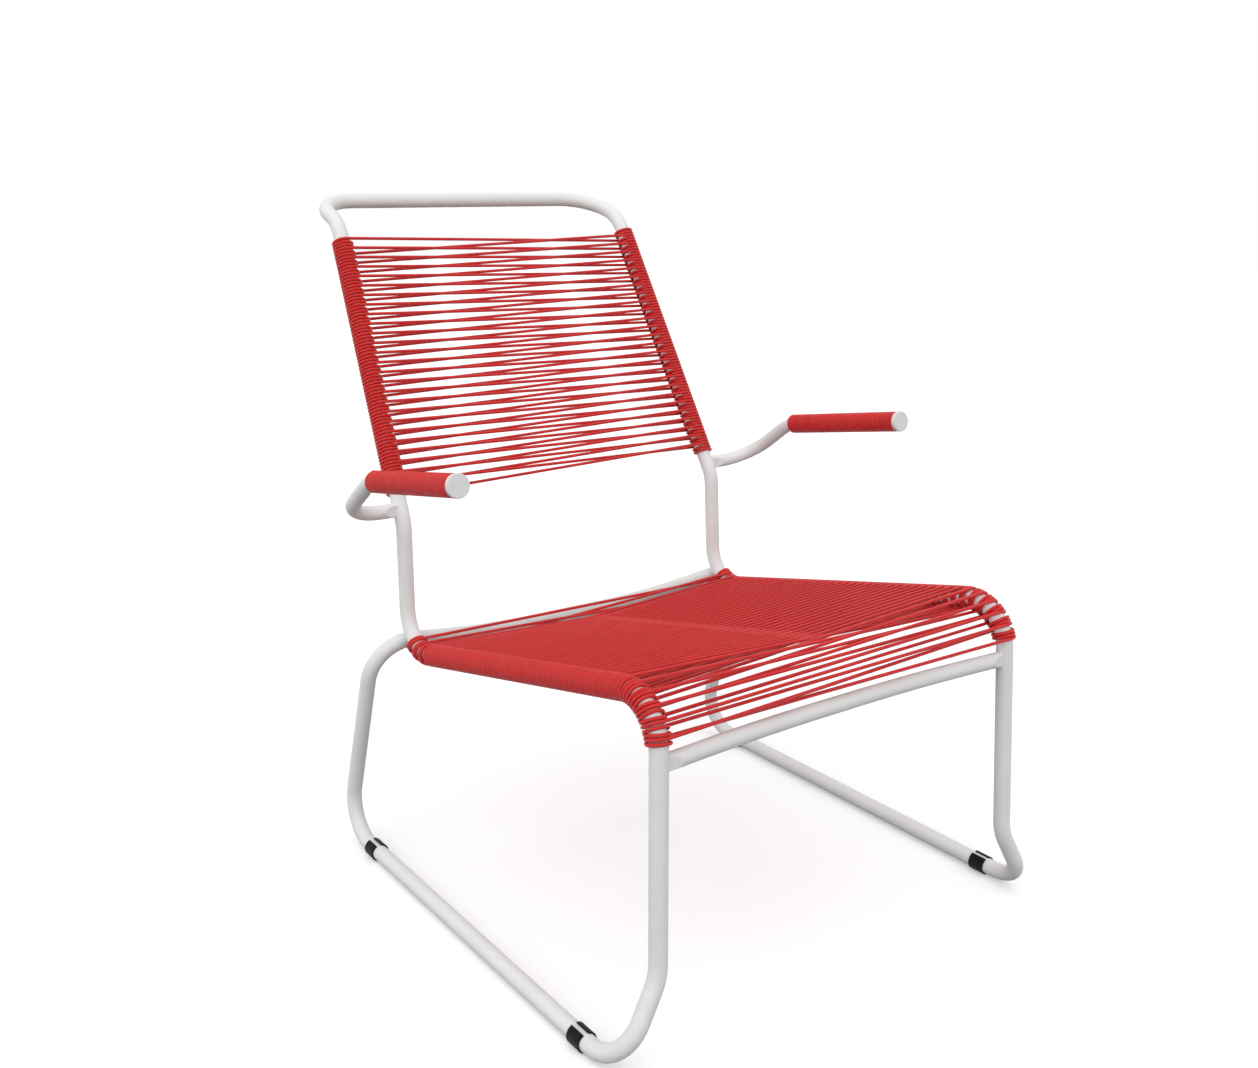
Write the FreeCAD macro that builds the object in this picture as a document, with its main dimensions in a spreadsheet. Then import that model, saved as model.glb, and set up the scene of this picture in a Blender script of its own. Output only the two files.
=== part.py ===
import FreeCAD, Part
import math
import os

from FreeCAD import Placement, Rotation, Vector

# Lounge chair: bent steel tube frame, laced with plastic cord.
# Millimetres, +Z up, the sitter faces -Y, the middle plane is X = 0, the floor is Z = 0.
# Left is the sitter's left (+X). The origin is on the floor, midway along the chair's depth.

os.makedirs("parts", exist_ok=True)
doc = FreeCAD.newDocument("LoungeChair")

# Driving dimensions: name, value, meaning
SIZES = [
    ("frame_tube", 20, "outer diameter of the main frame tube"),
    ("frame_wall", 1.5, "wall of the main frame tube"),
    ("light_tube", 18.5, "outer diameter of the arm tubes and front crossbar"),
    ("light_wall", 1.5, "wall of the arm tubes and front crossbar"),
    ("cord_diameter", 4.1, "round plastic cord"),
    ("cord_clearance", 0.1, "room between a cord and the tube it goes round"),
    ("base_width", 626, "between the axes of the two runners"),
    ("runner_front", 426, "origin to the front corner of a runner"),
    ("runner_rear", 217.5, "origin to the rear corner of a runner"),
    ("kick_width", 527, "between the front legs where they begin to splay"),
    ("kick_front", 420, "origin to that place"),
    ("kick_height", 99, "floor to that place"),
    ("seat_width", 508.8, "between the axes of the seat rails"),
    ("seat_front", 405.4, "origin to the front corner of a seat rail"),
    ("seat_front_height", 396, "floor to that corner"),
    ("seat_rear", 131.4, "origin to the rear corner of a seat rail"),
    ("seat_rear_height", 278, "floor to that corner"),
    ("waist_width", 502.4, "between the uprights where they begin to lean"),
    ("waist_setback", 6.6, "that place behind the rear corner of the seat rail"),
    ("waist_rise", 169, "that place above the rear corner of the seat rail"),
    ("top_width", 455.8, "between the uprights at their upper end"),
    ("back_lean", 207.8, "the uprights' upper end behind the waist"),
    ("back_rise", 367.8, "the uprights' upper end above the waist"),
    ("top_tilt", 18, "degrees above level at which the top curls backwards"),
    ("top_straight", 1, "straight tube between the two bends of that curl"),
    ("hip_width", 605, "between the upper corners of the rear legs"),
    ("rear_bar_angle", 41, "degrees below level, round the seat bend, where the rear bar touches"),
    ("rear_bar_bow", 23.8, "drop of the rear crossbar's middle below its ends"),
    ("rear_bar_level", 130, "half length of the rear bar's bow, to where it levels out"),
    ("rear_bar_bend", 1150, "bend radius of that bow"),
    ("front_bar_drop", 72.6, "front crossbar below the front corner of the seat rail"),
    ("front_bar_bow", 11, "setback of the front crossbar's middle behind its ends"),
    ("front_bar_level", 110, "half length of the front bar's bow, to where it runs level"),
    ("front_bar_bend", 2200, "bend radius of that bow"),
    ("top_bend", 56.5, "bend radius at the top bar's corners"),
    ("lean_bend", 61, "bend radius at the uprights' upper end"),
    ("frame_bend", 50, "bend radius of waist, seat and runner corners"),
    ("kick_bend", 59, "bend radius where the front legs splay"),
    ("hip_bend", 53, "bend radius at the upper corners of the rear legs"),
    ("arm_rise", 17, "an arm's inner end above the waist"),
    ("arm_straight", 1, "straight tube between an arm's pressed end and its first bend"),
    ("arm_forward", 89.3, "rear corner of a grip in front of the arm's inner end"),
    ("arm_climb", 63.3, "rear corner of a grip above the arm's inner end"),
    ("grip_forward", 216.4, "front face of a grip's cap in front of the grip's rear corner"),
    ("grip_climb", 35.5, "front face of a grip's cap above the grip's rear corner"),
    ("arm_bend", 53, "bend radius at an arm's outer corner"),
    ("grip_bend", 55, "bend radius at a grip's rear corner"),
    ("pinch_depth", 3.2, "how far a tube end is pressed in on each side"),
    ("pinch_flat", 6, "length of the pressed flat beside the tube it meets"),
    ("pinch_slope", 8.5, "length of the slope up to the round tube"),
    ("cap_thickness", 5, "head of an arm end cap"),
    ("cap_edge", 0.8, "rounding of that head's front edge"),
    ("cap_stem", 18, "length of the cap's stem in the tube"),
    ("fit_clearance", 0.05, "radial room of stems, pins and glides"),
    ("pin_length", 44, "joining pin inside two tube ends"),
    ("glide_wall", 2, "wall of a glide clip"),
    ("glide_length", 21.5, "length of a glide clip along the runner"),
    ("glide_slot", 6, "width of the slot along a glide's top"),
    ("glide_turn", 9, "degrees that the slots are turned round the runners, towards the right"),
    ("glide_sole", 0.4, "depth of the flat along a glide's bottom"),
    ("glide_cover", 6, "how far a front glide reaches past the runner joint that it hides"),
    ("glide_setback", 7.5, "clear runner between a rear glide and the bend behind it"),
    ("joint_margin", 0.9, "straight runner between its front bend and the pin of its joint"),
    ("weld_gap", 0.3, "room between the rear bar and the seat bends, filled by the welds"),
    ("weld_size", 6, "radius of a weld bead"),
    ("back_cord_start", 23, "middle of the upper back bend down to the back cord"),
    ("back_cord_end", 35, "middle of the waist bend up to the back cord"),
    ("back_loops", 24, "loops of the back cord"),
    ("seat_cord_start", 3, "middle of the rear seat bend to the seat cord"),
    ("seat_cord_end", 36, "middle of the front seat bend down to the seat cord's end"),
    ("seat_loops", 24, "loops of the seat cord"),
    ("grip_loops", 24, "loops of an arm cord"),
]

sheet = doc.addObject("Spreadsheet::Sheet", "Sizes")
for row, (alias, number, meaning) in enumerate(SIZES, start=1):
    sheet.set(f"A{row}", meaning)
    sheet.set(f"B{row}", str(number))
    sheet.setAlias(f"B{row}", alias)
doc.recompute()


def size(alias):
    return float(sheet.get(alias))


# Sizes that follow from the driving ones
frame_radius = size("frame_tube") / 2
light_radius = size("light_tube") / 2
cord_radius = size("cord_diameter") / 2
runner_height = frame_radius + size("fit_clearance") + size("glide_wall") - size("glide_sole")
SIDES = {"left": 1, "right": -1}


# Centre lines

class Route:
    """A centre line of straight runs joined by tangent arcs."""

    def __init__(self, corners, radii):
        self.runs = []
        self.bend_middles = []
        self.length = 0.0
        self.first_direction = (corners[1] - corners[0]).normalize()
        here = corners[0]
        for corner, following, radius in zip(corners[1:], corners[2:], radii):
            into = (corner - here).normalize()
            out = (following - corner).normalize()
            turn = into.getAngle(out)
            reach = radius * math.tan(turn / 2)
            self.add_line(here, corner - into * reach)
            inward = (out - into * out.dot(into)).normalize()
            self.bend_middles.append(self.length + radius * turn / 2)
            self.add_arc(corner - into * reach, into, inward, radius, turn)
            here = corner + out * reach
        self.add_line(here, corners[-1])

    def add_line(self, start, end):
        length = (end - start).Length
        direction = (end - start).normalize()
        self.runs.append((length, lambda far: (start + direction * far, direction)))
        self.length += length

    def add_arc(self, start, into, inward, radius, turn):
        centre = start + inward * radius

        def at(far):
            angle = far / radius
            place = centre - inward * (radius * math.cos(angle)) + into * (radius * math.sin(angle))
            return place, into * math.cos(angle) + inward * math.sin(angle)

        self.runs.append((radius * turn, at))
        self.length += radius * turn

    def at(self, far):
        """Place and direction at a distance along the route."""
        for length, run in self.runs[:-1]:
            if far <= length:
                return run(far)
            far -= length
        return self.runs[-1][1](far)

    def wire(self):
        edges = []
        for length, run in self.runs:
            start, middle, end = (run(length * share)[0] for share in (0, 0.5, 1))
            straight = (start + end - middle * 2).Length < 1e-7
            curve = Part.LineSegment(start, end) if straight else Part.Arc(start, middle, end)
            edges.append(curve.toShape())
        return Part.Wire(edges)


def between(low, high, height):
    """The point at a height on the line from low to high."""
    return low + (high - low) * ((height - low.z) / (high.z - low.z))


def bend_reach(before, corner, after, radius):
    """Distance from a corner to the ends of its bend."""
    return radius * math.tan((corner - before).getAngle(after - corner) / 2)


def frame_corners(side):
    """Corner points of one half of the frame, by name."""
    def corner(width, along, height):
        return Vector(side * size(width) / 2, along, height)

    seat_rear = corner("seat_width", size("seat_rear"), size("seat_rear_height"))
    waist = corner("waist_width", seat_rear.y + size("waist_setback"), seat_rear.z + size("waist_rise"))
    lean = corner("top_width", waist.y + size("back_lean"), waist.z + size("back_rise"))
    tilt = math.radians(size("top_tilt"))
    curl = Vector(0, math.cos(tilt), math.sin(tilt))
    lean_reach = bend_reach(waist, lean, lean + curl, size("lean_bend"))
    top = lean + curl * (lean_reach + size("top_straight") + size("top_bend"))
    kick = corner("kick_width", -size("kick_front"), size("kick_height"))
    runner_front = corner("base_width", -size("runner_front"), runner_height)
    runner_rear = corner("base_width", size("runner_rear"), runner_height)
    joint_reach = bend_reach(kick, runner_front, runner_rear, size("frame_bend"))
    joint_reach += size("joint_margin") + size("pin_length") / 2
    return {
        "top_middle": Vector(0, top.y, top.z),
        "top": top,
        "lean": lean,
        "waist": waist,
        "seat_rear": seat_rear,
        "seat_front": corner("seat_width", -size("seat_front"), size("seat_front_height")),
        "kick": kick,
        "runner_front": runner_front,
        "joint": runner_front + Vector(0, joint_reach, 0),
        "runner_rear": runner_rear,
    }


def rear_bar_corners(points, side):
    """The rear leg's upper corner, then where the bowed bar levels out, then its middle."""
    into = (points["seat_rear"] - points["waist"]).normalize()
    out = (points["seat_front"] - points["seat_rear"]).normalize()
    half_turn = into.getAngle(out) / 2
    to_centre = size("frame_bend") / math.cos(half_turn)
    bend_centre = points["seat_rear"] + (out - into).normalize() * to_centre
    angle = math.radians(size("rear_bar_angle"))
    outward = Vector(0, math.cos(angle), -math.sin(angle))
    touch = bend_centre + outward * (size("frame_bend") + size("frame_tube") + size("weld_gap"))
    down_leg = points["runner_rear"] - touch
    down_leg.x = 0
    down_leg.normalize()
    hip_half = size("hip_width") / 2
    level_half = size("rear_bar_level")
    fall = size("rear_bar_bow") / (hip_half - level_half)
    hip = touch - down_leg * (fall * (hip_half - abs(touch.x)))
    hip.x = side * hip_half
    level = hip + down_leg * size("rear_bar_bow")
    level.x = side * level_half
    middle = Vector(0, level.y, level.z)
    weld = bend_centre + outward * (size("frame_bend") + frame_radius + size("weld_gap") / 2)
    return hip, level, middle, weld


# Tubes

def add(kind, name):
    return doc.addObject(kind, name)


def cut(name, base, tool):
    result = add("Part::Cut", name)
    result.Base = base
    result.Tool = tool
    return result


def fuse(name, shapes):
    result = add("Part::MultiFuse", name)
    result.Shapes = shapes
    return result


def rod(name, route, radius):
    """A solid round rod along a route; radius is a formula of the sheet's sizes."""
    path = add("Part::Feature", name + "_path")
    path.Shape = route.wire()
    section = add("Part::Circle", name + "_section")
    section.setExpression("Radius", radius)
    start = route.at(0)[0]
    section.Placement = Placement(start, Rotation(Vector(0, 0, 1), route.first_direction))
    body = add("Part::Sweep", name)
    body.Sections = [section]
    body.Spine = (path, [f"Edge{number}" for number in range(1, len(route.runs) + 1)])
    body.Solid = True
    return body


FRAME_OUTSIDE = "Sizes.frame_tube / 2"
FRAME_INSIDE = "Sizes.frame_tube / 2 - Sizes.frame_wall"
LIGHT_OUTSIDE = "Sizes.light_tube / 2"
LIGHT_INSIDE = "Sizes.light_tube / 2 - Sizes.light_wall"


def frame_half(name, side):
    """Back-and-seat tube and base tube of one side, with their outsides as solid rods."""
    points = frame_corners(side)
    hip, level, middle, weld = rear_bar_corners(points, side)
    bend = size("frame_bend")
    upper_names = ["top_middle", "top", "lean", "waist", "seat_rear"]
    upper_names += ["seat_front", "kick", "runner_front", "joint"]
    upper_bends = [size("top_bend"), size("lean_bend"), bend, bend, bend, size("kick_bend"), bend]
    upper = Route([points[key] for key in upper_names], upper_bends)
    lower = Route([points["joint"], points["runner_rear"], hip, level, middle],
                  [bend, size("hip_bend"), size("rear_bar_bend")])
    rear_reach = bend_reach(points["joint"], points["runner_rear"], hip, bend)
    glide_half = size("glide_length") / 2
    half = {"points": points, "route": upper, "weld": weld, "bar_middle": middle}
    half["front_glide"] = points["joint"].y + size("glide_cover") - glide_half
    half["rear_glide"] = points["runner_rear"].y - rear_reach - size("glide_setback") - glide_half
    for key, route in (("back_seat", upper), ("base", lower)):
        outside = rod(f"{name}_{key}_outside", route, FRAME_OUTSIDE)
        inside = rod(f"{name}_{key}_inside", route, FRAME_INSIDE)
        half[key] = outside
        subparts.append(cut(f"{name}_{key}_tube", outside, inside))
    return half


def pressed_sides(name, end, inward, radius):
    """Two wedges that press a tube end flat from front and back, up to the tube it meets."""
    across = inward.cross(Vector(0, 0, 1)).normalize()
    upward = across.cross(inward).normalize()
    flat_end = frame_radius + size("pinch_flat")
    depth = size("pinch_depth")
    beyond = radius + depth
    slope_end = flat_end + size("pinch_slope") * (beyond - radius + depth) / depth
    outline = [(0, radius - depth), (flat_end, radius - depth), (slope_end, beyond), (0, beyond)]
    wedges = []
    for label, facing in (("front", 1), ("back", -1)):
        loop = [end + inward * far + across * (facing * off) - upward * beyond for far, off in outline]
        wedge = add("Part::Feature", f"{name}_{label}_press")
        wedge.Shape = Part.Face(Part.makePolygon(loop + loop[:1])).extrude(upward * (2 * beyond))
        wedges.append(wedge)
    return wedges


pinch_length = frame_radius + size("pinch_flat") + size("pinch_slope") + size("light_wall")


def front_crossbar(halves):
    """Bowed tube between the front legs, pressed flat and shaped to the legs at both ends."""
    ends = {}
    for name, side in SIDES.items():
        points = halves[name]["points"]
        height = points["seat_front"].z - size("front_bar_drop")
        ends[name] = between(points["kick"], points["seat_front"], height)
    set_back = Vector(0, size("front_bar_bow"), 0)
    level_half = Vector(size("front_bar_level"), 0, 0)
    middle = (ends["left"] + ends["right"]) / 2 + set_back
    inner = [middle + level_half, middle - level_half]
    bends = [size("front_bar_bend")] * 2
    left_way = (inner[0] - ends["left"]).normalize()
    right_way = (inner[1] - ends["right"]).normalize()
    outside = rod("front_bar_outside", Route([ends["left"], *inner, ends["right"]], bends), LIGHT_OUTSIDE)
    bore_ends = (ends["left"] + left_way * pinch_length, ends["right"] + right_way * pinch_length)
    inside = rod("front_bar_inside", Route([bore_ends[0], *inner, bore_ends[1]], bends), LIGHT_INSIDE)
    waste = [inside, halves["left"]["back_seat"], halves["right"]["back_seat"]]
    waste += pressed_sides("front_bar_left", ends["left"], left_way, light_radius)
    waste += pressed_sides("front_bar_right", ends["right"], right_way, light_radius)
    subparts.append(cut("front_crossbar", outside, fuse("front_bar_waste", waste)))


def arm(name, side, half):
    """Arm tube, its end cap and the straight grip that the arm cord goes round."""
    waist = half["points"]["waist"]
    root = between(waist, half["points"]["lean"], waist.z + size("arm_rise"))
    way_out = Vector(side, 0, 0)
    outer = root + way_out * (pinch_length + size("arm_straight") + size("arm_bend"))
    grip_rear = outer + Vector(0, -size("arm_forward"), size("arm_climb"))
    cap_face = grip_rear + Vector(0, -size("grip_forward"), size("grip_climb"))
    forward = (cap_face - grip_rear).normalize()
    tube_end = cap_face - forward * size("cap_thickness")
    bends = [size("arm_bend"), size("grip_bend")]
    route = Route([root, outer, grip_rear, tube_end], bends)
    outside = rod(f"{name}_arm_outside", route, LIGHT_OUTSIDE)
    bore = Route([root + way_out * pinch_length, outer, grip_rear, tube_end], bends)
    inside = rod(f"{name}_arm_inside", bore, LIGHT_INSIDE)
    waste = [inside, half["back_seat"], *pressed_sides(f"{name}_arm", root, way_out, light_radius)]
    subparts.append(cut(f"{name}_arm_tube", outside, fuse(f"{name}_arm_waste", waste)))
    end_cap(name, tube_end, forward)
    grip_length = route.runs[-1][0]
    arm_cord(name, tube_end - forward * grip_length, forward, grip_length)


def end_cap(name, tube_end, forward):
    """Round plug: a head as wide as the wound grip, with a stem in the tube."""
    upright = Rotation(Vector(0, 0, 1), forward)
    head = add("Part::Cylinder", f"{name}_cap_block")
    head.setExpression("Radius", "Sizes.light_tube / 2 + Sizes.cord_diameter + Sizes.cord_clearance")
    head.setExpression("Height", "Sizes.cap_thickness")
    head.Placement = Placement(tube_end, upright)
    doc.recompute()
    rounded = add("Part::Fillet", f"{name}_cap_head")
    rounded.Base = head
    depths = [(edge.CenterOfMass - tube_end).dot(forward) for edge in head.Shape.Edges]
    front = depths.index(max(depths)) + 1
    rounded.Edges = [(front, size("cap_edge"), size("cap_edge"))]
    stem = add("Part::Cylinder", f"{name}_cap_stem")
    stem.setExpression("Radius", LIGHT_INSIDE + " - Sizes.fit_clearance")
    stem.setExpression("Height", "Sizes.cap_stem + Sizes.cap_thickness / 2")
    stem.Placement = Placement(tube_end - forward * size("cap_stem"), upright)
    subparts.append(fuse(f"{name}_arm_end_cap", [rounded, stem]))


def joining_pin(name, middle, direction):
    """Round pin inside the ends of two tubes that meet."""
    pin = add("Part::Cylinder", name)
    pin.setExpression("Radius", FRAME_INSIDE + " - Sizes.fit_clearance")
    pin.setExpression("Height", "Sizes.pin_length")
    start = middle - direction * (size("pin_length") / 2)
    pin.Placement = Placement(start, Rotation(Vector(0, 0, 1), direction))
    subparts.append(pin)


def glide(name, side, along):
    """Split clip round the runner, with a slot along its top and a flat sole."""
    axis = Vector(side * size("base_width") / 2, along, runner_height)
    rear_end = Vector(0, size("glide_length") / 2, 0)
    lying = Rotation(Vector(1, 0, 0), 90)
    outside = add("Part::Cylinder", name + "_outside")
    outside.setExpression("Radius", "Sizes.frame_tube / 2 + Sizes.fit_clearance + Sizes.glide_wall")
    outside.setExpression("Height", "Sizes.glide_length")
    outside.Placement = Placement(axis + rear_end, lying)
    bore = add("Part::Cylinder", name + "_bore")
    bore.setExpression("Radius", "Sizes.frame_tube / 2 + Sizes.fit_clearance")
    bore.setExpression("Height", "Sizes.glide_length")
    bore.Placement = outside.Placement
    slot = add("Part::Box", name + "_slot")
    slot.setExpression("Length", "Sizes.glide_slot")
    slot.setExpression("Width", "Sizes.glide_length")
    slot.setExpression("Height", "Sizes.frame_tube")
    turned = Rotation(Vector(0, 1, 0), -size("glide_turn"))
    slot_corner = turned.multVec(Vector(-size("glide_slot") / 2, 0, 0))
    slot.Placement = Placement(axis - rear_end + slot_corner, turned)
    below = add("Part::Box", name + "_below")
    below.setExpression("Length", "Sizes.frame_tube * 2")
    below.setExpression("Width", "Sizes.glide_length")
    below.setExpression("Height", "Sizes.frame_tube")
    corner = Vector(axis.x - size("frame_tube"), along, -size("frame_tube")) - rear_end
    below.Placement = Placement(corner, Rotation())
    subparts.append(cut(name, outside, fuse(name + "_waste", [bore, slot, below])))


def weld_bead(name, half):
    """Weld between the rear crossbar and a seat bend, shaped to both tubes."""
    bead = add("Part::Sphere", name + "_blob")
    bead.setExpression("Radius", "Sizes.weld_size")
    bead.Placement = Placement(half["weld"], Rotation())
    subparts.append(cut(name, bead, fuse(name + "_waste", [half["back_seat"], half["base"]])))


# Cords

def arc_through(start, corner, end):
    """The arc tangent to start-corner and corner-end, which are equally long."""
    turn = (corner - start).getAngle(end - corner)
    if turn < 1e-6:
        return Part.LineSegment(start, end).toShape()
    weight = math.cos(turn / 2)
    middle = (start + corner * (2 * weight) + end) / (2 + 2 * weight)
    return Part.Arc(start, middle, end).toShape()


def biarc(start, start_way, end, end_way):
    """Two tangent arcs from one place and direction to another."""
    chord = end - start
    ways = start_way + end_way
    spread = 2 * (1 - start_way.dot(end_way))
    lean = chord.dot(ways)
    reach = (math.sqrt(lean * lean + spread * chord.dot(chord)) - lean) / spread
    first = start + start_way * reach
    second = end - end_way * reach
    joint = (first + second) / 2
    return [arc_through(start, first, joint), arc_through(joint, second, end)]


def cord(name, edges, loops):
    """One unbroken round cord along its edges."""
    start = edges[0].valueAt(edges[0].FirstParameter)
    way = edges[0].tangentAt(edges[0].FirstParameter)
    section = Part.Wire([Part.Circle(start, way, cord_radius).toShape()])
    shape = Part.Wire(edges).makePipeShell([section], True, False)
    piece = add("Part::Feature", name)
    piece.Shape = shape
    piece.Placement = Placement()
    length = sum(edge.Length for edge in edges)
    share = shape.Volume / (math.pi * cord_radius ** 2 * length)
    gap = least_gap(edges, loops)
    print(f"{name}: {length / 1000:.2f} m, volume share {share:.4f}, least gap {gap:.2f} mm")
    subparts.append(piece)


def least_gap(edges, loops):
    """Least room between stretches of a cord that are further apart along it than a quarter loop."""
    step = size("cord_diameter")
    points = []
    travelled = 0.0
    for edge in edges:
        places = edge.discretize(Number=max(3, int(edge.Length / step) + 1))
        spacing = edge.Length / (len(places) - 1)
        points += [(travelled + spacing * index, place) for index, place in enumerate(places[:-1])]
        travelled += edge.Length
    loop_length = travelled / loops
    nearest = loop_length
    for index, (far, place) in enumerate(points):
        for other_far, other in points[index + 1:]:
            if other_far - far > 1.6 * loop_length:
                break
            if other_far - far > loop_length / 4:
                nearest = min(nearest, place.distanceToPoint(other))
    return nearest - size("cord_diameter")


def lace(name, halves, first, last, loops):
    """Cord laced in a figure of eight: over one tube, across, under the other, round it and back."""
    round_tube = frame_radius + size("cord_clearance") + cord_radius
    routes = {side: halves[half]["route"] for half, side in SIDES.items()}

    def frame_at(side, far):
        place, along = routes[side].at(far)
        facing = along.cross(Vector(1, 0, 0)).normalize()
        outward = facing.cross(along).normalize() * side
        return place, along, facing, outward

    def on_tube(side, far, degrees):
        place, _, facing, outward = frame_at(side, far)
        angle = math.radians(degrees)
        return place + facing * (round_tube * math.cos(angle)) + outward * (round_tube * math.sin(angle))

    passes = 2 * loops
    step = (last - first) / passes
    strands = []
    for number in range(passes):
        side = 1 if number % 2 == 0 else -1
        far = first + step * (number + 0.5)
        slack = math.degrees(math.asin(round_tube / abs(frame_at(side, far)[0].x)))
        strands.append((side, far, on_tube(side, far, -slack), on_tube(-side, far, 180 + slack)))
    edges = []
    for number, (_, far, leave, arrive) in enumerate(strands):
        edges.append(Part.LineSegment(leave, arrive).toShape())
        if number + 1 == passes:
            break
        next_side, next_far, next_leave, next_arrive = strands[number + 1]
        place, along, facing, outward = frame_at(next_side, (far + next_far) / 2)
        outermost = place + outward * round_tube
        rising = (facing * (math.pi * round_tube) + along * step).normalize()
        edges += biarc(arrive, (arrive - leave).normalize(), outermost, rising)
        edges += biarc(outermost, rising, next_leave, (next_arrive - next_leave).normalize())
    cord(name, edges, loops)


def arm_cord(name, start, forward, length):
    """Cord wound along a grip, with a short straight end at each side."""
    round_tube = light_radius + size("cord_clearance") + cord_radius
    loops = int(size("grip_loops"))
    sideways = forward.cross(Vector(0, 0, 1)).normalize()
    upward = sideways.cross(forward).normalize()
    spare = size("cord_diameter")
    pitch = (length - 2 * spare) / loops
    places = []
    for quarter in range(4 * loops + 1):
        angle = quarter * math.pi / 2
        spoke = upward * math.cos(angle) + sideways * math.sin(angle)
        swing = sideways * math.cos(angle) - upward * math.sin(angle)
        place = start + forward * (spare + pitch * quarter / 4) + spoke * round_tube
        way = (swing * (2 * math.pi * round_tube) + forward * pitch).normalize()
        places.append((place, way))
    first_place, first_way = places[0]
    last_place, last_way = places[-1]
    edges = [Part.LineSegment(first_place - first_way * spare, first_place).toShape()]
    for (place, way), (next_place, next_way) in zip(places, places[1:]):
        edges += biarc(place, way, next_place, next_way)
    edges.append(Part.LineSegment(last_place, last_place + last_way * spare).toShape())
    cord(f"{name}_arm_cord", edges, loops)


# The chair

subparts = []
halves = {name: frame_half(name, side) for name, side in SIDES.items()}
front_crossbar(halves)
for name, side in SIDES.items():
    arm(name, side, halves[name])
    weld_bead(f"{name}_rear_bar_weld", halves[name])
    joining_pin(f"{name}_runner_pin", halves[name]["points"]["joint"], Vector(0, 1, 0))
    for key in ("front_glide", "rear_glide"):
        glide(f"{name}_{key}", side, halves[name][key])
joining_pin("top_bar_pin", halves["left"]["points"]["top_middle"], Vector(1, 0, 0))
joining_pin("rear_bar_pin", halves["left"]["bar_middle"], Vector(1, 0, 0))

_, lean_middle, waist_middle, seat_rear_middle, seat_front_middle, _, _ = halves["left"]["route"].bend_middles
back_span = (lean_middle + size("back_cord_start"), waist_middle - size("back_cord_end"))
lace("back_cord", halves, *back_span, int(size("back_loops")))
seat_span = (seat_rear_middle + size("seat_cord_start"), seat_front_middle + size("seat_cord_end"))
lace("seat_cord", halves, *seat_span, int(size("seat_loops")))

doc.recompute()
failed = [item.Name for item in doc.Objects if "Invalid" in item.State or "Error" in item.State]
for piece in subparts:
    if piece.Shape.isNull() or not piece.Shape.isValid() or len(piece.Shape.Solids) != 1:
        failed.append(piece.Label)
if failed:
    raise RuntimeError("failed: " + ", ".join(failed))
for piece in subparts:
    piece.Shape.exportStep(f"parts/{piece.Label}.step")
    print(f"{piece.Label}: {piece.Shape.Volume / 1000:.2f} cm3")
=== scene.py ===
"""Looks of the lounge chair: cord lacing, surface materials, studio light and camera."""

import math

import bpy
import numpy as np
from mathutils import Matrix


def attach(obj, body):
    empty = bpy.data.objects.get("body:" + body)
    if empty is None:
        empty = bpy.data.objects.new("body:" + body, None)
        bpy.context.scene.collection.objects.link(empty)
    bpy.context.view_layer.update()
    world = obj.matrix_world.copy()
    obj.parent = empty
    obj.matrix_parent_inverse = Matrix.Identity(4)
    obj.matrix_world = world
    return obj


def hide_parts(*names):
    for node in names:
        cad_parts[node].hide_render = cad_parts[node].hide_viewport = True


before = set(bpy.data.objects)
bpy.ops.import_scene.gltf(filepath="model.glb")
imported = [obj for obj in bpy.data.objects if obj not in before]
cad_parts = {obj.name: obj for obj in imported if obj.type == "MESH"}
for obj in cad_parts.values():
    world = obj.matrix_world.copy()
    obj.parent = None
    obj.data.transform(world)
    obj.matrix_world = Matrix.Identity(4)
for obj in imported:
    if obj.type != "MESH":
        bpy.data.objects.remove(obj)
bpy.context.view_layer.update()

MM = 0.001
LEFT = 1
RIGHT = -1
SIDES = {"left": LEFT, "right": RIGHT}

# Tube lines that carry the cord, in millimetres for the left side; the right side is their mirror image
TOP_CORNER = (227.9, 423.122, 839.923)
LEAN_CORNER = (227.9, 345.8, 814.8)
WAIST_CORNER = (251.2, 138.0, 447.0)
SEAT_REAR_CORNER = (254.4, 131.4, 278.0)
SEAT_FRONT_CORNER = (254.4, -405.4, 396.0)
KICK_CORNER = (263.5, -420.0, 99.0)
LEAN_BEND = 61.0
SEAT_BEND = 50.0
GRIP_REAR = (330.123, 45.767, 529.357)
GRIP_FRONT = (330.123, -153.161, 561.991)

# Round plastic cord, and the distance of its centre from the middle of the tube that it is wound on
FRAME_TUBE_RADIUS = 10.0
GRIP_TUBE_RADIUS = 9.25
CORD_RADIUS = 2.05
CORD_CLEARANCE = 0.1
FRAME_LAP = FRAME_TUBE_RADIUS + CORD_CLEARANCE + CORD_RADIUS
GRIP_LAP = GRIP_TUBE_RADIUS + CORD_CLEARANCE + CORD_RADIUS
CORD_SIDES = 10
STEPS_PER_TURN = 32
END_DOME = (75, 50, 25)

# Degrees round a tube at which a strand comes in behind it, and leaves in front after two turns and a half
COMES_IN = 180
LEAVES = -720

# Back lacing: places along the uprights, from the middle of the upper bend
BACK_START = 23.0
BACK_PERIOD = 13.598
BACK_PERIODS = 26
BACK_FRONT_RIGHT = 6.45
BACK_REAR_LEFT = 9.65
BACK_FRONT_LEFT = 12.18
BACK_REAR_RIGHT = 17.6
BACK_FIRST_ANGLE = 120
BACK_LAST_ANGLE = -520
BACK_TAIL = 9.2

# Seat lacing: places along the seat rails, from the middle of the front bend
SEAT_START = 30.55
SEAT_PERIOD = 13.65
SEAT_PERIODS = 36
SEAT_REAR_RIGHT = 2.53
SEAT_FRONT_LEFT = 2.65
SEAT_REAR_LEFT = -8.03
SEAT_LAST_ANGLE = -150
SEAT_TAIL = 4.2

# Degrees at which a group of turns starts to tilt into its own plane, and over which it does so
TILT_FROM = -20
TILT_OVER = 200

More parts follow.
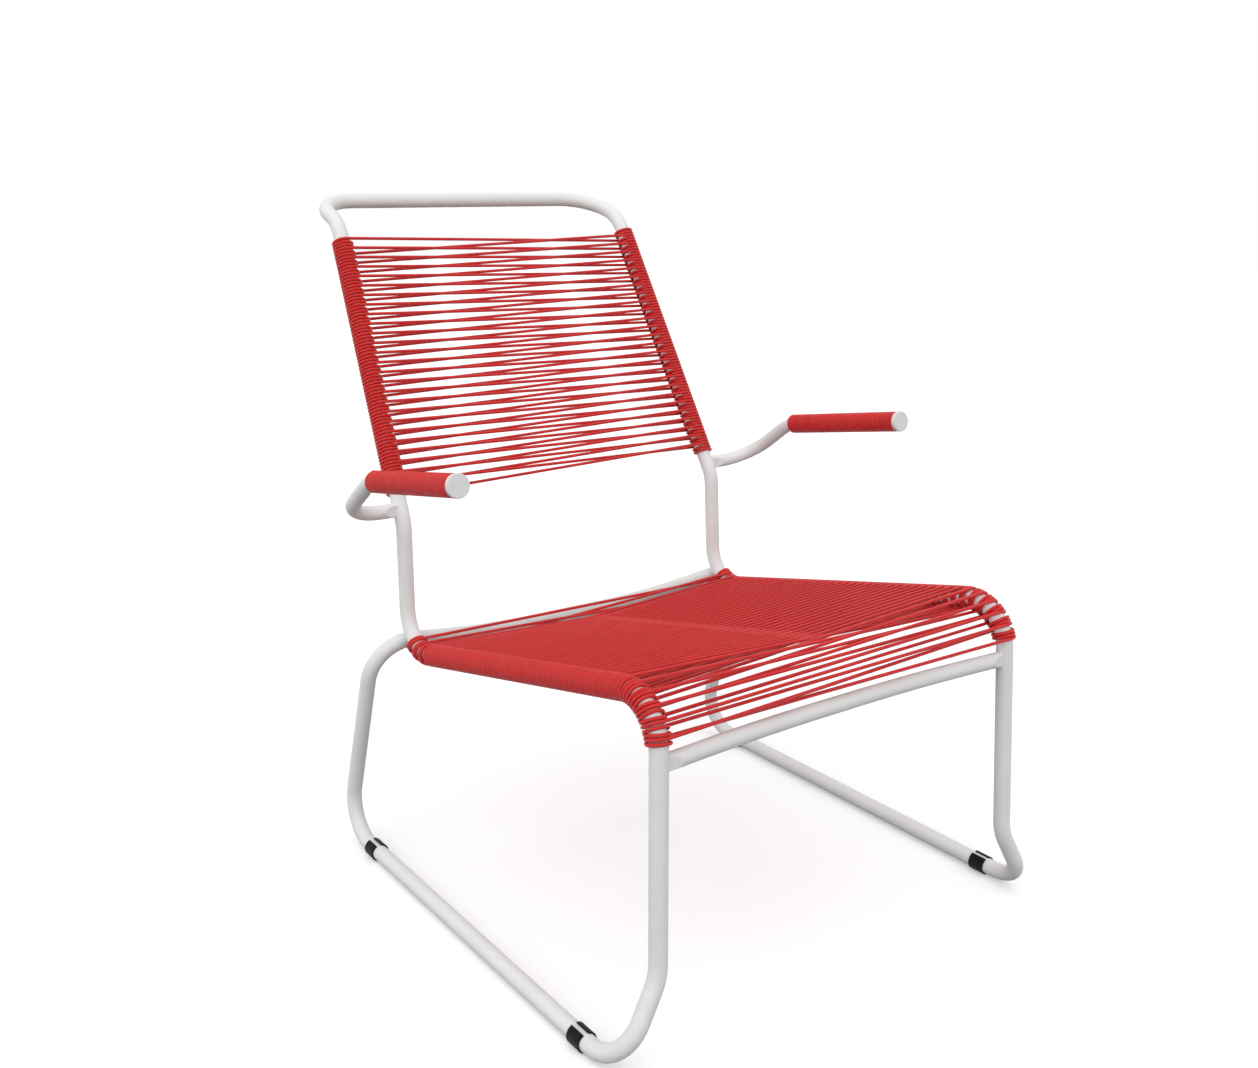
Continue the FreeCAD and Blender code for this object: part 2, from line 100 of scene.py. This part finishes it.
# Groups at the rear bend, from its middle: right rail from and to, left rail from and to, right angles
SEAT_REAR_GROUPS = [
    (6.0, 13.0, 1.2, 14.0, -180, LEAVES),
    (21.2, 27.4, 19.9, 30.4, COMES_IN, -360),
    (36.3, 42.5, 35.6, 46.2, COMES_IN, -360),
    (51.4, 57.6, 49.0, 59.8, COMES_IN, -360),
]

# Grip windings: turns, and the lengths past the rear place and short of the front place
GRIP_TURNS = 44.4
GRIP_BEFORE = 2.2
GRIP_SPARE = 2.15

# Light of the studio: its level, and how it leans towards the viewer's left
LIGHT_LEVEL = 1.0
LIGHT_LEAN = (-0.40, -0.32, 0.0)

# Floor: its reach in metres, the colour that lights the chair, and the colour and glow that are seen
FLOOR_REACH = 12.0
FLOOR_BOUNCE = (0.07, 0.07, 0.07, 1)
FLOOR_COLOUR = (0.92, 0.92, 0.92, 1)
FLOOR_GLOW = 0.27
WHITE = (1, 1, 1, 1)

# Camera: focal length and image width in pixels, sensor in millimetres, place in metres
FOCAL_PIXELS = 1320.904
IMAGE_WIDTH = 1258
SENSOR_WIDTH = 36.0
CAMERA_PLACE = (-0.96781, -1.34502, 0.87100)
CAMERA_RIGHT = (0.81165, -0.58414, 0.00282)
CAMERA_UP = (0.14952, 0.21240, 0.96568)

# Part of a noise that is spread over the whole range between two tones or values
NOISE_LOW = 0.3
NOISE_HIGH = 0.7


class TubeLine:
    """Centre line of a laced tube: straight runs with a bend at each inner corner."""

    def __init__(self, corners, radii):
        self.runs = []
        self.bend_middles = []
        self.length = 0.0
        places = [np.array(corner, float) for corner in corners]
        here = places[0]
        for corner, after, radius in zip(places[1:], places[2:], radii):
            into = unit(corner - here)
            out = unit(after - corner)
            turn = math.acos(float(into @ out))
            reach = radius * math.tan(turn / 2)
            self.add_run(here, corner - into * reach)
            inward = unit(out - into * (out @ into))
            self.bend_middles.append(self.length + radius * turn / 2)
            self.runs.append((self.length, radius * turn, corner - into * reach, into, inward, radius))
            self.length += radius * turn
            here = corner + out * reach
        self.add_run(here, places[-1])

    def add_run(self, start, end):
        span = float(np.linalg.norm(end - start))
        self.runs.append((self.length, span, start, unit(end - start), None, 0.0))
        self.length += span

    def at(self, distance):
        """Place and direction at a distance along the line."""
        first, span, start, along, inward, radius = next(
            (run for run in self.runs if distance <= run[0] + run[1]), self.runs[-1])
        travel = distance - first
        if inward is None:
            return start + along * travel, along
        angle = travel / radius
        place = start + inward * radius * (1 - math.cos(angle)) + along * radius * math.sin(angle)
        return place, along * math.cos(angle) + inward * math.sin(angle)


def unit(vector):
    return vector / np.linalg.norm(vector)


def mirrored(corners, side):
    return [(x * side, y, z) for x, y, z in corners]


def smooth_step(t):
    t = min(max(t, 0.0), 1.0)
    return t * t * (3 - 2 * t)


# Lacing

LACED = [TOP_CORNER, LEAN_CORNER, WAIST_CORNER, SEAT_REAR_CORNER, SEAT_FRONT_CORNER, KICK_CORNER]
LACED_BENDS = [LEAN_BEND, SEAT_BEND, SEAT_BEND, SEAT_BEND]
tube_lines = {side: TubeLine(mirrored(LACED, side), LACED_BENDS) for side in SIDES.values()}
lean_middle, _, seat_rear_middle, seat_front_middle = tube_lines[LEFT].bend_middles


def lap_point(side, place, facing_place, degrees):
    """Cord centre on a tube: 0 degrees is the sitter's side, 90 is outward, 180 is behind."""
    centre, _ = tube_lines[side].at(place)
    _, along = tube_lines[side].at(facing_place)
    facing = unit(np.cross(along, (1.0, 0.0, 0.0)))
    outward = np.cross(facing, along) * side
    angle = math.radians(degrees)
    return centre + FRAME_LAP * (facing * math.cos(angle) + outward * math.sin(angle))


def slack_angle(side, place):
    """Degrees past straight ahead at which a strand leaves its tube for the other one."""
    centre, _ = tube_lines[side].at(place)
    return math.degrees(math.asin(FRAME_LAP / abs(centre[0])))


def wind(points, side, first, last, first_angle, last_angle, facing=None):
    """Adds turns round a tube, from one place and angle to another."""
    steps = max(2, round(abs(last_angle - first_angle) / 360 * STEPS_PER_TURN))
    for step in range(steps + 1):
        share = step / steps
        degrees = first_angle + (last_angle - first_angle) * share
        place = first + (last - first) * share
        points.append(lap_point(side, place, facing(degrees) if facing else place, degrees))


def back_lacing():
    """One cord, wound upwards: turns on one upright, then across to the other."""
    start = lean_middle + BACK_START
    points = []
    rear_left = start + BACK_REAR_LEFT + BACK_PERIOD * BACK_PERIODS
    for period in reversed(range(BACK_PERIODS)):
        base = start + BACK_PERIOD * period
        slack = slack_angle(LEFT, base)
        comes_in = COMES_IN + slack
        leaves = LEAVES - slack
        first_angle = comes_in if period < BACK_PERIODS - 1 else BACK_FIRST_ANGLE
        wind(points, LEFT, rear_left, base + BACK_FRONT_LEFT, first_angle, leaves)
        wind(points, RIGHT, base + BACK_REAR_RIGHT, base + BACK_FRONT_RIGHT, comes_in, leaves)
        rear_left = base + BACK_REAR_LEFT
    wind(points, LEFT, rear_left, rear_left - BACK_TAIL, comes_in, BACK_LAST_ANGLE)
    return points


def seat_lacing():
    """One cord, wound forwards in groups of turns that keep together round the front bends."""
    points = []
    slack = slack_angle(LEFT, seat_rear_middle)
    comes_in = COMES_IN + slack
    leaves = LEAVES - slack
    for group in SEAT_REAR_GROUPS:
        right_from, right_to, left_from, left_to = (seat_rear_middle + place for place in group[:4])
        first_angle, last_angle = group[4:]
        wind(points, RIGHT, right_from, right_to, first_angle + slack, last_angle - slack)
        wind(points, LEFT, left_from, left_to, comes_in, leaves)
    front = seat_front_middle + SEAT_START
    for period in reversed(range(SEAT_PERIODS)):
        base = front - SEAT_PERIOD * period
        behind = base - SEAT_PERIOD

        def across_gap(degrees, behind=behind, base=base):
            return behind + (base - behind) * smooth_step((TILT_FROM - degrees) / TILT_OVER)

        wind(points, RIGHT, behind + SEAT_REAR_RIGHT, base, comes_in, leaves, across_gap)
        wind(points, LEFT, base + SEAT_REAR_LEFT, base + SEAT_FRONT_LEFT, comes_in, leaves,
             lambda degrees, base=base: base)
    last = front + SEAT_REAR_RIGHT
    wind(points, RIGHT, last, last + SEAT_TAIL, comes_in, SEAT_LAST_ANGLE, lambda degrees: front)
    return points


def grip_winding(side):
    """Cord wound turn by turn along a grip, up to its end cap."""
    rear, tip = (np.array(place) for place in mirrored([GRIP_REAR, GRIP_FRONT], side))
    forward = unit(tip - rear)
    first = rear - forward * GRIP_BEFORE
    last = tip - forward * GRIP_SPARE
    sideways = np.array((side, 0.0, 0.0))
    upward = np.cross(forward, sideways) * -side
    steps = round(GRIP_TURNS * STEPS_PER_TURN)
    points = []
    for step in range(steps + 1):
        share = step / steps
        angle = 2 * math.pi * GRIP_TURNS * share - math.pi
        spoke = upward * math.cos(angle) + sideways * math.sin(angle)
        points.append(first + (last - first) * share + spoke * GRIP_LAP)
    return points


# Cord meshes

def cord_frames(points):
    """Direction and two cross directions at each point, carried along without twist."""
    steps = np.diff(points, axis=0)
    steps /= np.linalg.norm(steps, axis=1)[:, None]
    along = np.vstack([steps[:1], steps[:-1] + steps[1:], steps[-1:]])
    along /= np.linalg.norm(along, axis=1)[:, None]
    across = np.empty_like(along)
    across[0] = unit(np.cross(along[0], (0.3, 0.2, 0.9)))
    for index in range(1, len(along)):
        carried = across[index - 1] - along[index] * (across[index - 1] @ along[index])
        across[index] = unit(carried)
    return along, across, np.cross(along, across)


def rounded_ends(points):
    """Ring centres and radii of a cord whose two ends are melted round."""
    head = unit(points[0] - points[1])
    tail = unit(points[-1] - points[-2])
    dome = [math.radians(angle) for angle in END_DOME]
    first = [points[0] + head * CORD_RADIUS * math.sin(angle) for angle in dome]
    last = [points[-1] + tail * CORD_RADIUS * math.sin(angle) for angle in reversed(dome)]
    narrow = [CORD_RADIUS * math.cos(angle) for angle in dome]
    radii = np.concatenate([narrow, np.full(len(points), CORD_RADIUS), narrow[::-1]])
    return np.vstack([first, points, last]), radii


def cord_mesh(name, points):
    """Round tube along the points, with the length along the cord and the way round it as UV."""
    centres, radii = rounded_ends(np.array(points))
    along, across, over = cord_frames(centres)
    angles = np.arange(CORD_SIDES) * 2 * math.pi / CORD_SIDES
    cosines = np.cos(angles)[None, :, None]
    sines = np.sin(angles)[None, :, None]
    spokes = across[:, None] * cosines + over[:, None] * sines
    vertices = (centres[:, None] + spokes * radii[:, None, None]).reshape(-1, 3) * MM
    rings = len(centres)
    ring = np.arange(rings - 1)[:, None] * CORD_SIDES
    corner = np.arange(CORD_SIDES)[None, :]
    after = (corner + 1) % CORD_SIDES
    next_ring = ring + CORD_SIDES
    quads = np.stack([ring + corner, ring + after, next_ring + after, next_ring + corner], -1)
    faces = [*quads.reshape(-1, 4).tolist(), list(range(CORD_SIDES))[::-1],
             list(range((rings - 1) * CORD_SIDES, rings * CORD_SIDES))]
    mesh = bpy.data.meshes.new(name)
    mesh.from_pydata(vertices.tolist(), [], faces)
    mesh.shade_smooth()
    spans = np.linalg.norm(np.diff(centres, axis=0), axis=1)
    travelled = np.concatenate([[0.0], np.cumsum(spans)]) * MM
    start = np.broadcast_to(travelled[:-1, None], (rings - 1, CORD_SIDES))
    end = np.broadcast_to(travelled[1:, None], (rings - 1, CORD_SIDES))
    here = np.broadcast_to(corner / CORD_SIDES, (rings - 1, CORD_SIDES))
    there = np.broadcast_to((corner + 1) / CORD_SIDES, (rings - 1, CORD_SIDES))
    uv = np.stack([np.stack([here, start], -1), np.stack([there, start], -1),
                   np.stack([there, end], -1), np.stack([here, end], -1)], 2).reshape(-1, 2)
    uv = np.vstack([uv, np.zeros((2 * CORD_SIDES, 2))])
    mesh.uv_layers.new(name="cord").data.foreach_set("uv", uv.ravel())
    piece = bpy.data.objects.new(name, mesh)
    bpy.context.scene.collection.objects.link(piece)
    return piece


# Materials

def shader(name):
    """A new material, with its node tree and its Principled shader."""
    material = bpy.data.materials.new(name)
    material.use_nodes = True
    nodes = material.node_tree.nodes
    return material, nodes, material.node_tree.links, nodes["Principled BSDF"]


def placed_noise(nodes, links, output, density, detail):
    """Noise with its own density along each axis of a coordinate."""
    coordinate = nodes.new("ShaderNodeTexCoord")
    mapping = nodes.new("ShaderNodeMapping")
    mapping.inputs["Scale"].default_value = density
    links.new(coordinate.outputs[output], mapping.inputs["Vector"])
    noise = nodes.new("ShaderNodeTexNoise")
    noise.inputs["Scale"].default_value = 1.0
    noise.inputs["Detail"].default_value = detail
    links.new(mapping.outputs["Vector"], noise.inputs["Vector"])
    return noise


def tone(nodes, links, noise, socket, dark, pale):
    """Colour that wanders between two tones."""
    ramp = nodes.new("ShaderNodeValToRGB")
    ramp.color_ramp.elements[0].position = NOISE_LOW
    ramp.color_ramp.elements[0].color = (*dark, 1)
    ramp.color_ramp.elements[1].position = NOISE_HIGH
    ramp.color_ramp.elements[1].color = (*pale, 1)
    links.new(noise.outputs["Fac"], ramp.inputs["Fac"])
    links.new(ramp.outputs["Color"], socket)


def vary(nodes, links, noise, socket, low, high):
    """Value that wanders between two limits."""
    spread = nodes.new("ShaderNodeMapRange")
    spread.inputs["From Min"].default_value = NOISE_LOW
    spread.inputs["From Max"].default_value = NOISE_HIGH
    spread.inputs["To Min"].default_value = low
    spread.inputs["To Max"].default_value = high
    links.new(noise.outputs["Fac"], spread.inputs["Value"])
    links.new(spread.outputs["Result"], socket)


def relief(nodes, links, noise, socket, depth):
    """Fine relief, of that depth in metres."""
    bump = nodes.new("ShaderNodeBump")
    bump.inputs["Strength"].default_value = 1.0
    bump.inputs["Distance"].default_value = depth
    links.new(noise.outputs["Fac"], bump.inputs["Height"])
    links.new(bump.outputs["Normal"], socket)


def surface(name, look):
    """Material whose colour, gloss and relief follow noises of their own scale."""
    material, nodes, links, principled = shader(name)
    for socket, value in look["even"].items():
        principled.inputs[socket].default_value = value
    coordinate = look["coordinate"]
    clouds = placed_noise(nodes, links, coordinate, look["clouds"], 3)
    grain = placed_noise(nodes, links, coordinate, look["grain"], 2)
    tone(nodes, links, clouds, principled.inputs["Base Color"], look["dark"], look["pale"])
    vary(nodes, links, grain, principled.inputs["Roughness"], *look["roughness"])
    relief(nodes, links, grain, principled.inputs["Normal"], look["relief"])
    return material


LOOKS = {
    "frame_paint": {
        "coordinate": "Object", "clouds": (16, 16, 16), "grain": (650, 650, 650), "relief": 0.00002,
        "dark": (0.81, 0.81, 0.81), "pale": (0.85, 0.85, 0.85), "roughness": (0.42, 0.5),
        "even": {"Specular IOR Level": 0.3},
    },
    "cord": {
        "coordinate": "UV", "clouds": (1.5, 25, 1), "grain": (9, 30, 1), "relief": 0.00003,
        "dark": (0.60, 0.015, 0.015), "pale": (0.66, 0.020, 0.020), "roughness": (0.34, 0.42),
        "even": {"Specular IOR Level": 0.35},
    },
    "cap_plastic": {
        "coordinate": "Object", "clouds": (60, 60, 60), "grain": (1500, 1500, 1500), "relief": 0.00002,
        "dark": (0.78, 0.78, 0.78), "pale": (0.82, 0.82, 0.82), "roughness": (0.45, 0.55),
        "even": {"Specular IOR Level": 0.35},
    },
    "glide_plastic": {
        "coordinate": "Object", "clouds": (90, 90, 90), "grain": (2000, 2000, 2000), "relief": 0.00004,
        "dark": (0.003, 0.003, 0.003), "pale": (0.006, 0.006, 0.006), "roughness": (0.45, 0.55),
        "even": {"Specular IOR Level": 0.15},
    },
    "pin_steel": {
        "coordinate": "Object", "clouds": (40, 40, 40), "grain": (60, 1500, 1500), "relief": 0.00002,
        "dark": (0.42, 0.42, 0.43), "pale": (0.54, 0.54, 0.55), "roughness": (0.28, 0.42),
        "even": {"Metallic": 1.0},
    },
}
materials = {name: surface(name, look) for name, look in LOOKS.items()}


def finish_of(node):
    """Material slot of a CAD node, from its name."""
    for ending, name in (("end_cap", "cap_plastic"), ("glide", "glide_plastic"), ("pin", "pin_steel"),
                         ("cord", "cord")):
        if node.endswith(ending):
            return name
    return "frame_paint"


for node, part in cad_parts.items():
    part.data.materials.clear()
    part.data.materials.append(materials[finish_of(node)])

lacings = {"back_cord": back_lacing(), "seat_cord": seat_lacing()}
for name, side in SIDES.items():
    lacings[f"{name}_arm_cord"] = grip_winding(side)
for node, points in lacings.items():
    piece = cord_mesh(f"{node}_wound", points)
    piece.data.materials.append(materials["cord"])
    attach(piece, "root")
    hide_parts(node)


# Studio

def seen(nodes, links):
    """1 for the rays by which the camera, metal and glass see the background."""
    rays = nodes.new("ShaderNodeLightPath")
    either = rays.outputs["Is Camera Ray"]
    for kind in ("Is Glossy Ray", "Is Transmission Ray"):
        most = nodes.new("ShaderNodeMath")
        most.operation = "MAXIMUM"
        links.new(either, most.inputs[0])
        links.new(rays.outputs[kind], most.inputs[1])
        either = most.outputs["Value"]
    return either


def floor_material():
    """Pale matt floor that shows white to the camera and keeps the shadow."""
    material = bpy.data.materials.new("studio_floor")
    material.use_nodes = True
    nodes, links = material.node_tree.nodes, material.node_tree.links
    nodes.remove(nodes["Principled BSDF"])
    bounce = nodes.new("ShaderNodeBsdfDiffuse")
    bounce.inputs["Color"].default_value = FLOOR_BOUNCE
    matt = nodes.new("ShaderNodeBsdfDiffuse")
    matt.inputs["Color"].default_value = FLOOR_COLOUR
    glow = nodes.new("ShaderNodeEmission")
    glow.inputs["Color"].default_value = WHITE
    glow.inputs["Strength"].default_value = FLOOR_GLOW
    white = nodes.new("ShaderNodeAddShader")
    links.new(matt.outputs["BSDF"], white.inputs[0])
    links.new(glow.outputs["Emission"], white.inputs[1])
    choice = nodes.new("ShaderNodeMixShader")
    links.new(seen(nodes, links), choice.inputs["Fac"])
    links.new(bounce.outputs["BSDF"], choice.inputs[1])
    links.new(white.outputs["Shader"], choice.inputs[2])
    links.new(choice.outputs["Shader"], nodes["Material Output"].inputs["Surface"])
    return material


def studio_floor():
    """Flat square floor under the chair."""
    mesh = bpy.data.meshes.new("floor")
    corners = [(x * FLOOR_REACH, y * FLOOR_REACH, 0) for x, y in ((-1, -1), (1, -1), (1, 1), (-1, 1))]
    mesh.from_pydata(corners, [], [(0, 1, 2, 3)])
    floor = bpy.data.objects.new("floor", mesh)
    bpy.context.scene.collection.objects.link(floor)
    mesh.materials.append(floor_material())


def studio_world():
    """Soft light from all round, stronger from one side; white to the camera."""
    world = bpy.data.worlds.new("studio")
    bpy.context.scene.world = world
    world.use_nodes = True
    nodes, links = world.node_tree.nodes, world.node_tree.links
    way = nodes.new("ShaderNodeTexCoord")
    lean = nodes.new("ShaderNodeVectorMath")
    lean.operation = "DOT_PRODUCT"
    lean.inputs[1].default_value = LIGHT_LEAN
    links.new(way.outputs["Generated"], lean.inputs[0])
    level = nodes.new("ShaderNodeMath")
    level.operation = "ADD"
    level.inputs[1].default_value = LIGHT_LEVEL
    links.new(lean.outputs["Value"], level.inputs[0])
    soft = nodes["Background"]
    soft.inputs["Color"].default_value = WHITE
    links.new(level.outputs["Value"], soft.inputs["Strength"])
    white = nodes.new("ShaderNodeBackground")
    white.inputs["Color"].default_value = WHITE
    white.inputs["Strength"].default_value = 1.0
    choice = nodes.new("ShaderNodeMixShader")
    links.new(seen(nodes, links), choice.inputs["Fac"])
    links.new(soft.outputs["Background"], choice.inputs[1])
    links.new(white.outputs["Background"], choice.inputs[2])
    links.new(choice.outputs["Shader"], nodes["World Output"].inputs["Surface"])


def photo_camera():
    """Camera at the photograph's viewing angle."""
    camera = bpy.data.cameras.new("camera")
    camera.sensor_fit = "HORIZONTAL"
    camera.sensor_width = SENSOR_WIDTH
    camera.lens = SENSOR_WIDTH * FOCAL_PIXELS / IMAGE_WIDTH
    camera.clip_end = 60.0
    viewer = bpy.data.objects.new("camera", camera)
    back = np.cross(CAMERA_RIGHT, CAMERA_UP)
    axes = zip(CAMERA_RIGHT, CAMERA_UP, back, CAMERA_PLACE)
    viewer.matrix_world = Matrix((*axes, (0, 0, 0, 1)))
    bpy.context.scene.collection.objects.link(viewer)
    bpy.context.scene.camera = viewer


studio_floor()
studio_world()
photo_camera()
bpy.context.scene.view_settings.view_transform = "Standard"
